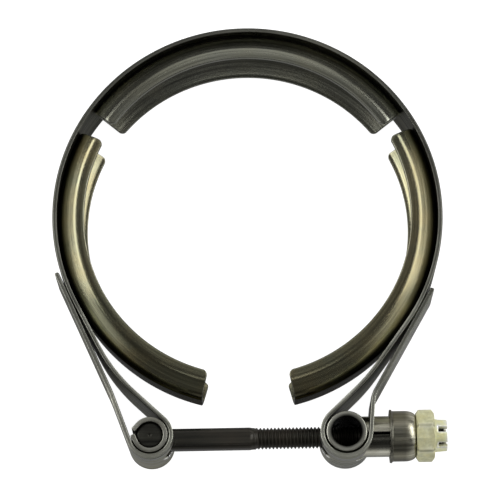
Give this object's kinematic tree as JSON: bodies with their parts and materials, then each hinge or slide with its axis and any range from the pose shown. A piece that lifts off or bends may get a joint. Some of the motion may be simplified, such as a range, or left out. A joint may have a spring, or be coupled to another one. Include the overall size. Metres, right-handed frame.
{
  "type": "v band clamp",
  "caption": "Round steel V band clamp with welded V retainers inside a folded strip, drawn together by a T bolt with a lock nut.",
  "frame": {"origin": "centre of the ring at half the clamp's width", "axes": "+Z along the ring's axis, +X along the bolt towards the nut, +Y away from the bolt"},
  "size_m": [0.108, 0.1225, 0.02],
  "materials": {
    "band_steel": "dull rolled steel, dark grey-olive",
    "retainer_steel": "rolled steel with lengthwise streaks, dark olive with a warm shine",
    "sleeve_steel": "dull dark steel",
    "bolt_black": "black oxide, faintly oily",
    "trunnion_steel": "dark turned steel with worn bright edges",
    "tube_steel": "dark glossy steel",
    "cap_steel": "dark pressed steel, glossy",
    "nut_zinc": "pale yellow-green zinc plate"
  },
  "bodies": {
    "band": {"outer_band": "band_steel", "retainer_top": "retainer_steel", "retainer_left": "retainer_steel", "retainer_right": "retainer_steel"},
    "bolt": {"t_bolt": "bolt_black", "bolt_sleeve": "sleeve_steel"},
    "trunnion": {"cross_trunnion": "trunnion_steel", "spacer_tube": "tube_steel"},
    "cap": {"thrust_cap": "cap_steel"},
    "nut": {"lock_nut": "nut_zinc"}
  },
  "joints": [
    {"name": "bolt_play", "type": "hinge", "parent": "band", "child": "bolt", "pos_m": [-0.0276, -0.0612, 0], "axis": [0, 0, 1], "range_deg": [-0.25, 0.25]},
    {"name": "trunnion_play", "type": "hinge", "parent": "band", "child": "trunnion", "pos_m": [0.026, -0.0612, 0], "axis": [0, 0, 1], "range_deg": [-1, 1]},
    {"name": "cap_slide", "type": "slide", "parent": "bolt", "child": "cap", "axis": [1, 0, 0], "range_m": [0, 0.007]},
    {"name": "nut_turn", "type": "hinge", "parent": "cap", "child": "nut", "pos_m": [0.0477, -0.0612, 0], "axis": [1, 0, 0], "range_deg": [0, 2520]}
  ],
  "couplings": [
    {"joint": "cap_slide", "follows": "nut_turn", "m_per_rad": 0.00015915}
  ]
}
